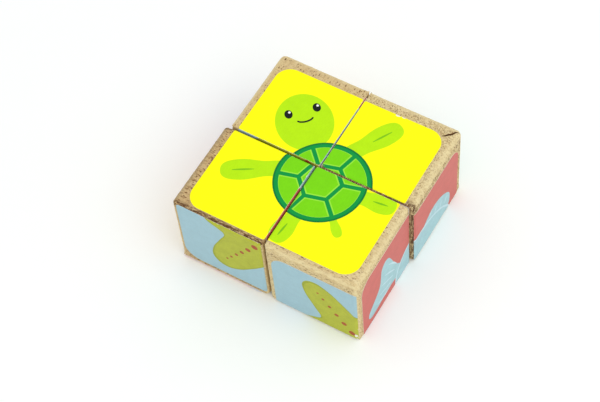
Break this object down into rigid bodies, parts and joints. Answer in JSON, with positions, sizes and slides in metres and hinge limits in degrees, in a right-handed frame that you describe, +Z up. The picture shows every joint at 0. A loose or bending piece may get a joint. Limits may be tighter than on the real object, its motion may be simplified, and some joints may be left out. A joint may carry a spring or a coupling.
{
  "type": "picture block puzzle",
  "caption": "Square set of rounded wooden cubes, each face holding a printed label with a quarter of a picture; the cubes roll and recombine to make different pictures.",
  "frame": {"origin": "on the standing plane, under the middle of the set's outline", "axes": "+X along the front of the set, +Y from the front row of cubes to the back row, +Z up"},
  "size_m": [0.0826, 0.081, 0.0403],
  "materials": {
    "wood": "fine-sanded, bare, with open brown pores",
    "turtle_print": "printed paper, satin",
    "starfish_print": "printed paper, satin",
    "fish_print": "printed paper, satin",
    "crab_print": "printed paper, satin",
    "jellyfish_print": "printed paper, satin",
    "whale_print": "printed paper, satin"
  },
  "bodies": {
    "front_left_block": {"cube_front_left": "wood", "label_front_left_turtle": "turtle_print", "label_front_left_starfish": "starfish_print", "label_front_left_fish": "fish_print", "label_front_left_crab": "crab_print", "label_front_left_jellyfish": "jellyfish_print", "label_front_left_whale": "whale_print"},
    "front_right_block": {"cube_front_right": "wood", "label_front_right_turtle": "turtle_print", "label_front_right_starfish": "starfish_print", "label_front_right_fish": "fish_print", "label_front_right_crab": "crab_print", "label_front_right_jellyfish": "jellyfish_print", "label_front_right_whale": "whale_print"},
    "back_left_block": {"cube_back_left": "wood", "label_back_left_turtle": "turtle_print", "label_back_left_starfish": "starfish_print", "label_back_left_fish": "fish_print", "label_back_left_crab": "crab_print", "label_back_left_jellyfish": "jellyfish_print", "label_back_left_whale": "whale_print"},
    "back_right_block": {"cube_back_right": "wood", "label_back_right_turtle": "turtle_print", "label_back_right_starfish": "starfish_print", "label_back_right_fish": "fish_print", "label_back_right_crab": "crab_print", "label_back_right_jellyfish": "jellyfish_print", "label_back_right_whale": "whale_print"}
  },
  "joints": [
    {"name": "front_left_roll", "type": "hinge", "parent": "back_left_block", "child": "front_left_block", "pos_m": [-0.04126, -0.02036, 0], "axis": [0.0035, -1, 0], "range_deg": [0, 90]},
    {"name": "front_right_roll", "type": "hinge", "parent": "back_left_block", "child": "front_right_block", "pos_m": [0.01953, -0.04044, 0], "axis": [1, 0.0044, 0], "range_deg": [0, 90]},
    {"name": "back_right_roll", "type": "hinge", "parent": "back_left_block", "child": "back_right_block", "pos_m": [0.04119, 0.02039, 0], "axis": [-0.0061, 1, 0], "range_deg": [0, 90]}
  ]
}
